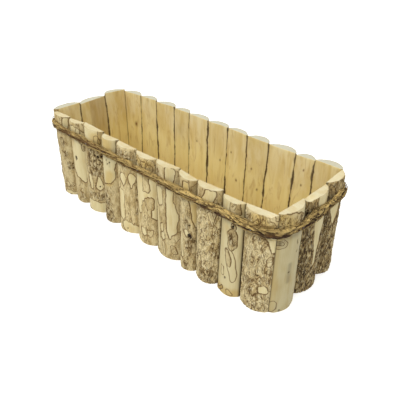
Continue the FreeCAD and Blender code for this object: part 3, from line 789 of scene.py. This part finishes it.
    def build(self):
        """The slat as a piece."""
        line, i, j, k = self.outline, SLAT_BLOCK.i, SLAT_BLOCK.j, SLAT_BLOCK.k
        deep = j / CELLS_DEEP
        along = between(self.in_along[k, i], self.out_along[k, i], deep)
        out = between(self.in_out[k, i], self.out_out[k, i], deep)
        belly = ease(deep, 0, JOINT_DEPTH_SHARE) * (1 - ease(deep, 0.8, 1))
        on_left, on_right = i == 0, i == CELLS_ALONG
        if not self.corner_left:
            along += on_left * belly * (self.left[k, 0] - HALF_GAP - along)
        if not self.corner_right:
            along += on_right * belly * (self.right[k, 0] + HALF_GAP - along)
        top_width = line.top_right - line.top_left
        share = np.clip((along - line.top_left) / top_width, -0.2, 1.2)
        top = between(line.left_height, line.right_height, share)
        up = self.share_up[k] * top
        up += TOP_WAVE * rough_noise(along / 9, out / 6, self.seed + 31) * (k == CELLS_UP)
        if self.name in CHIPS:
            chip_share, chip_out, drop, size = CHIPS[self.name]
            away = np.hypot(along - line.top_left - chip_share * top_width, out - chip_out)
            up -= drop * bump(away, size) * ease(up, top - CHIP_ZONE, top)

        outside, inside, end = j == CELLS_DEEP, j == 0, k % CELLS_UP == 0

        def note(outer, side=0.0, sawn=None):
            """A number for the outer face, for the sides and, where it differs from them, the sawn face."""
            rest = side if sawn is None else np.where(inside, sawn[k, i], side)
            return np.where(outside, outer[k, i], rest)

        at_corner = (on_left & self.corner_left) | (on_right & self.corner_right)
        side_dirt = np.where(end, 0.0, np.where(at_corner, CORNER_SIDE_DIRT, SIDE_DIRT))
        pith_out = self.draw.uniform(*PITH_OUT)
        pith_along = (line.top_left + line.top_right) / 2 + self.draw.uniform(*PITH_ALONG)
        own_tone = self.draw.uniform(-TONE_SPREAD, TONE_SPREAD)
        notes = {
            "peel": note(self.peel, 2.0),
            "loops": note(self.loops, CLEAR),
            "pit": note(self.pit, 0.5),
            "rough": note(self.rough, 0.5),
            "grime_and_shade": note(self.grime_and_shade, side_dirt, self.grime_in),
            "dark": note(self.dark, self.look.dark),
            "tone": note(self.tone, np.where(inside, SAWN_TONE, 0.0)) + own_tone,
            "knot": np.where(inside, self.knot_in[k, i], 0.0),
            # Painted light on the sawn faces, growing towards the bottom
            "low_painted_light": ease(self.up[k, 0], *PAINTED_LIGHT_HEIGHTS),
            "stain": note(self.stain, 0.0, self.stain_in),
            "ring": np.hypot(along - pith_along, out - pith_out),
            "rim": np.where(outside & end, RIM_SHARE, 0.0),
            "grey": np.full(len(i), float(self.wall_name in GREY_TOPS)),
        }
        numbers = np.repeat(FINISH_OF_SIDES, SLAT_BLOCK.side_sizes)
        new_piece(self.name + "_log", self.name, self.wall.world(along, out, up),
                  SLAT_BLOCK.faces.tolist(), SLAT_FINISHES, notes, numbers, WOOD_CREASE)


for wall_name, names in SLATS.items():
    for number in range(len(names)):
        SlatSkin(wall_name, number).build()


# Floor planks

PLANK_CELLS = (118, 22, 6)
PLANK_EASE, PLANK_HOLLOW = 0.6, 0.35


def make_plank(name, seed):
    """A rough-sawn plank with eased edges, a little hollow along its middle."""
    low, high = (np.array(corner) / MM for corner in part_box(name))
    block = Block(*PLANK_CELLS)
    shares = [number / cells for number, cells in zip((block.i, block.j, block.k), PLANK_CELLS)]
    x, y, z = map(between, low, high, shares)
    end, edge, face = (np.minimum(share, 1 - share) < 1e-6 for share in shares)
    on_edge = end.astype(int) + edge + face > 1
    inset = on_edge * PLANK_EASE * (0.7 + 0.5 * rough_noise(x / 30, y / 12, seed))
    hollow = PLANK_HOLLOW * (rough_noise(x / 60, y / 7, seed + 5) + 1.0)
    z = z - inset * np.sign(shares[2] - 0.5) - hollow * (shares[2] > 0.99) * ~on_edge
    y = y - inset * edge * np.sign(shares[1] - 0.5)
    dirt = np.clip(0.5 * ease(np.abs(shares[1] - 0.5), 0.44, 0.5) + 0.45 * end, 0, 1)
    new_piece(name + "_board", name, MM * np.column_stack([x, y, z]),
              block.faces[:, ::-1].tolist(), [PLANK], {"grime_and_shade": dirt}, crease=WOOD_CREASE)


make_plank("front_plank", 41)
make_plank("back_plank", 57)


# Rope. Lengths are in mm

ROPE_SETTLE = 5.0
ROPE_WAVER = 1.1
CORNER_STAND = {"front": 9.0, "right": 4.0, "back": 9.0, "left": 8.0}
ROUTE_STEPS = 24
# Strands, the yarns round a core yarn in each, and the length of one turn of each
STRANDS, YARNS = 3, 10
STRAND_LAY, YARN_LAY = 110.0, 46.0
# How far strands run from the rope's middle, outwards and up, and yarns from the middle of their strand
STRAND_OUT, STRAND_UP, YARN_OUT, YARN_UP = 1.1, 2.6, 1.36, 1.6
YARN_SIZE, YARN_SIDES, YARN_STEP, YARN_TAPER = 0.95, 5, 2.6, 9
# The rope's fullness, and its half thickness outwards and up, within which yarns near the middle get painted
# shade
ROPE_FULLNESS, ROPE_HALF_OUT, ROPE_HALF_UP = 1.12, 3.2, 4.6
LOOSE_FIBRES, FIBRE_POINTS, FIBRE_SIDES = 560, 10, 3
FIBRE_OUT, FIBRE_UP, FIBRE_DEEPEST = 3.5, 5.0, -2.8
# Shortest and longest, least and most turn in radians, thinnest and thickest
FIBRE_RUN, FIBRE_TURN, FIBRE_SIZE = (16, 60), (0.3, 1.6), (0.2, 0.6)
JOIN_SLAT, JOIN_SPREAD = "back_slat_06", 14.0
# Thicker or thinner places: wall, from its left corner, how much thicker and how much darker
LUMPS = [("front", 430, 0.12, 0), ("front", 462, 0.24, 0.15), ("right", 30, 0.1, 0), ("right", 62, 0.5, 0.5),
         ("right", 98, -0.25, -0.1), ("right", 138, 0.5, 0.6), ("front", 205, 0.12, 0),
         ("front", 3, 0.6, 0.6), ("back", 150, 0.12, 0), ("back", 340, 0.15, 0.1)]
LUMP_REACH = 16
# How frayed the rope is, which also sets how strong its painted highlight and shade are: wall, from its left
# corner, share
FRAYED = [("front", 0, 0.9), ("front", 40, 0.2), ("front", 170, 0.3), ("front", 320, 0.8), ("front", 460, 1),
          ("right", 50, 1.35), ("right", 140, 1.35), ("back", 235, 0.6), ("left", 90, 0.6)]


def rope_route():
    """The rope's closed middle line: a smooth curve past each slat, pulled in at the corners."""
    draw = np.random.default_rng(5)
    stand = ROPE_HIGH[0] - front_high.x / MM - ROPE_SETTLE
    points = []
    for wall_name, wall in WALLS.items():
        for name in SLATS[wall_name]:
            line = Outline(wall, name)
            height = ROPE_HEIGHT + draw.uniform(-ROPE_WAVER, ROPE_WAVER)
            points.append(wall.world([(line.top_left + line.top_right) / 2], [stand], [height])[0])
        corner = CORNER_STAND[wall_name]
        points.append(wall.world([line.top_right + corner], [corner], [ROPE_HEIGHT])[0])
    curve = bpy.data.curves.new("rope_route", "CURVE")
    curve.dimensions = "3D"
    spline = curve.splines.new("NURBS")
    spline.points.add(len(points) - 1)
    for place, point in zip(spline.points, points):
        place.co = (*point, 1)
    spline.use_cyclic_u = True
    spline.order_u = 3
    spline.resolution_u = ROUTE_STEPS
    holder = bpy.data.objects.new("rope_route", curve)
    mesh = bpy.data.meshes.new_from_object(holder)
    route = np.array([vertex.co for vertex in mesh.vertices])
    bpy.data.objects.remove(holder)
    bpy.data.curves.remove(curve)
    bpy.data.meshes.remove(mesh)
    return route / MM


def unit(rows):
    return rows / np.linalg.norm(rows, axis=1)[:, None]


class Rope:
    """The rope's closed middle line, and the thin tubes laid along it. A length is one along that line."""

    def __init__(self, points):
        self.line = np.vstack([points, points[:1]])
        steps = np.linalg.norm(np.diff(self.line, axis=0), axis=1)
        self.marks = np.concatenate([[0], np.cumsum(steps)])
        self.length = self.marks[-1]
        self.count, self.points, self.faces = 0, [], []
        self.notes = {"strand": [], "hollow": [], "fray": []}

    def at(self, length):
        wrapped = np.mod(length, self.length)
        return np.column_stack([np.interp(wrapped, self.marks, axis) for axis in self.line.T])

    def length_at(self, wall_name, along):
        """The length at which the rope passes a place of a wall."""
        place = WALLS[wall_name].world([along], [0], [ROPE_HEIGHT])[0] / MM
        return self.marks[np.linalg.norm(self.line - place, axis=1).argmin()]

    def fray(self, length):
        places = [self.length_at(wall_name, along) for wall_name, along, share in FRAYED]
        return np.interp(length, places, [share for *place, share in FRAYED], period=self.length)

    def swell(self, length):
        """How full and how dark the rope is."""
        full = ROPE_FULLNESS + 0.1 * rough_noise(length / 45, 0.5, 72) - 0.15 * (1 - self.fray(length))
        dark = 0.0
        for wall_name, along, growth, darker in LUMPS:
            away = length - self.length_at(wall_name, along)
            away = np.mod(away + self.length / 2, self.length) - self.length / 2
            lump = bump(away, LUMP_REACH)
            full, dark = full + growth * lump, dark + darker * lump
        return full, dark

    def add(self, length, out, up, size, sides, strand, hollow):
        """Lays a tube by its distances outwards and up from the line, with its radius and two notes."""
        ahead = unit(self.at(length + 2) - self.at(length - 2))
        outward = unit(np.cross(ahead, (0, 0, 1)))
        upward = np.cross(outward, ahead)
        turn = np.linspace(0, 2 * math.pi, sides, endpoint=False)
        out = (out[:, None] + np.outer(size, np.cos(turn)))[..., None]
        up = (up[:, None] + np.outer(size, np.sin(turn)))[..., None]
        rings = self.at(length)[:, None] + out * outward[:, None] + up * upward[:, None]
        number = self.count + np.arange(len(length) * sides).reshape(-1, sides)
        after = np.roll(number, -1, axis=1)
        quads = np.stack([number[:-1], after[:-1], after[1:], number[1:]], -1).reshape(-1, 4)
        self.faces += [*quads[:, ::-1].tolist(), number[0].tolist(), number[-1][::-1].tolist()]
        self.points.append(rings.reshape(-1, 3))
        for word, values in zip(self.notes, (strand, hollow, self.fray(length))):
            self.notes[word].append(np.repeat(values, sides))
        self.count += number.size


def lay_yarns(rope, draw):
    """Twisted strands whose yarns begin and end about where the rope is joined."""
    join = rope.length_at("back", Outline(WALLS["back"], JOIN_SLAT).top_right)
    for lane in range(STRANDS * (YARNS + 1)):
        strand, yarn = divmod(lane, YARNS + 1)
        start = join + draw.uniform(-JOIN_SPREAD, JOIN_SPREAD)
        end = join + rope.length + draw.uniform(-JOIN_SPREAD, JOIN_SPREAD)
        length = np.arange(start, end, YARN_STEP)
        fray = rope.fray(length)
        wander = (0.7 + fray) * rough_noise(length / 16, lane + 0.5, 71)
        lift = (0.5 + 0.7 * fray) * rough_noise(length / 12, lane + 0.5, 76)
        swell, dark = rope.swell(length)
        twist = 2 * math.pi * (length / STRAND_LAY + strand / STRANDS) + 1.3 * noise(length / 50, 0.5, 73)
        roll = 2 * math.pi * (yarn / YARNS - length / YARN_LAY)
        round_core = yarn < YARNS
        out = swell * (STRAND_OUT * np.cos(twist) + round_core * YARN_OUT * np.cos(roll)) + lift * 0.7
        up = swell * (STRAND_UP * np.sin(twist) + round_core * YARN_UP * np.sin(roll)) + wander
        size = YARN_SIZE * swell * (1 + 0.45 * rough_noise(length / 11, lane + 0.5, 74))
        size *= 0.25 + 0.75 * ease(np.minimum(length - start, end - length), 0, YARN_TAPER)
        tone = 0.45 * draw.uniform(-1, 1) + 0.5 * noise(length / 26, lane + 0.5, 75)
        # Yarns higher up are lighter: a painted highlight on the rope's top, strongest where it is frayed
        tone = 0.55 * fray + 0.1 + tone * (0.25 + fray) + (0.06 + 0.13 * fray) * up
        tone += 0.8 * (swell - ROPE_FULLNESS) - 0.6 * dark
        # Painted shade on yarns near the rope's middle and on its underside; the hollow note also carries the
        # lumps' darkness
        inner = 1 - ease(np.hypot(out / ROPE_HALF_OUT, up / ROPE_HALF_UP) / swell, 0.35, 0.85)
        under = (0.2 + 0.6 * fray) * ease(-up, 0, 4.5 - 1.2 * fray)
        hollow = (0.15 + 0.6 * fray) * inner + under
        hollow += dark * (0.6 + 0.6 * noise(length / 9, lane + 0.5, 77))
        rope.add(length, out, up, size, YARN_SIDES, np.clip(tone, 0, 1), np.clip(hollow, 0, 1))


def lay_fibres(rope, draw):
    """Loose fibres that wind round the rope and stand off a little."""
    t = np.linspace(0, 1, FIBRE_POINTS)
    for _ in range(LOOSE_FIBRES):
        length = draw.uniform(0, rope.length) + t * draw.uniform(*FIBRE_RUN)
        turn = draw.uniform(0, 2 * math.pi) + t * draw.uniform(*FIBRE_TURN)
        away = 1 + draw.uniform(0.0, 0.3) * np.sin(math.pi * t) + draw.uniform(-0.02, 0.25) * t ** 3
        away = away * rope.swell(length)[0]
        out = np.maximum(FIBRE_OUT * np.cos(turn) * away, FIBRE_DEEPEST)
        up = FIBRE_UP * np.sin(turn) * away
        size = draw.uniform(*FIBRE_SIZE) * (0.35 + 0.65 * np.sin(math.pi * (0.1 + 0.85 * t)))
        rope.add(length, out, up, size, FIBRE_SIDES, np.full(FIBRE_POINTS, draw.uniform(0.2, 1)), 0 * t)


def make_rope():
    """Three twisted strands of bast yarn round the pot, with loose fibres."""
    rope, draw = Rope(rope_route()), np.random.default_rng(11)
    lay_yarns(rope, draw)
    lay_fibres(rope, draw)
    notes = {word: np.concatenate(values) for word, values in rope.notes.items()}
    new_piece("bast_rope", "rope", MM * np.concatenate(rope.points), rope.faces, [BAST], notes)


make_rope()


# Nails and brads keep their solids

for name in ("slat_nails", "rope_brads"):
    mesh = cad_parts[name].data
    mesh.materials.clear()
    mesh.materials.append(NAIL)


# Stage, light and camera

CAMERA_PLACE = (0.47763, -0.46715, 0.46722)
# Degrees to the left, up from straight down, and of roll
CAMERA_TURNS = ((43.15, "Z"), (57.4, "X"), (0.643, "Z"))
CAMERA_LENS, CAMERA_SENSOR = 41.92, 36.0
FLOOR_REACH, FLOOR_DROP = 4.0, 0.0004
FLOOR_COLOUR, FLOOR_GLOW = (235, 235, 232), 0.55
SKY_STRENGTH = 0.72
# Lamps: the direction they shine in, their strength, and their softness in degrees
LAMPS = {"key_light": ((0.15, 0.85, -0.95), 1.15, 50), "fill_light": ((-0.8, 0.35, -0.5), 0.32, 60)}


def make_floor():
    """A plain pale floor that shows white and keeps the pot's soft shadow."""
    mesh = bpy.data.meshes.new("floor")
    square = ((-FLOOR_REACH, -FLOOR_REACH), (FLOOR_REACH, -FLOOR_REACH),
              (FLOOR_REACH, FLOOR_REACH), (-FLOOR_REACH, FLOOR_REACH))
    mesh.from_pydata([(x, y, -FLOOR_DROP) for x, y in square], [], [(0, 1, 2, 3)])
    finish = Finish("pale_floor")
    finish.set(Base_Color=srgb(*FLOOR_COLOUR), Roughness=0.9)
    matt = Wire(finish, finish.shader.outputs[0])
    glow = finish.node("Emission", None, {"Color": WHITE, "Strength": FLOOR_GLOW})
    finish.surface("Material Output", matt, finish.node("AddShader", None, {0: glow, 1: matt}))
    mesh.materials.append(finish.material)
    put("floor", mesh)


def make_lights():
    """Broad lamps, and soft light from all round that is seen as white."""
    for name, (towards, strength, softness) in LAMPS.items():
        lamp = bpy.data.lights.new(name, "SUN")
        lamp.energy, lamp.angle = strength, math.radians(softness)
        put(name, lamp).rotation_euler = Vector(towards).to_track_quat("-Z", "Y").to_euler()
    world = bpy.context.scene.world = bpy.data.worlds.new("soft_light")
    sky = Nodes(world)
    sky.surface("World Output", *(sky.node("Background", None, {"Color": WHITE, "Strength": strength})
                                  for strength in (SKY_STRENGTH, 1.0)))


def make_camera():
    """A camera where the photo was taken from."""
    camera = bpy.data.cameras.new("camera")
    camera.lens, camera.sensor_width = CAMERA_LENS, CAMERA_SENSOR
    placed = Matrix.Translation(CAMERA_PLACE)
    for degrees, axis in CAMERA_TURNS:
        placed = placed @ Matrix.Rotation(math.radians(degrees), 4, axis)
    bpy.context.scene.camera = put("camera", camera)
    bpy.context.scene.camera.matrix_world = placed


make_floor()
make_lights()
make_camera()
bpy.context.scene.view_settings.view_transform = "Standard"
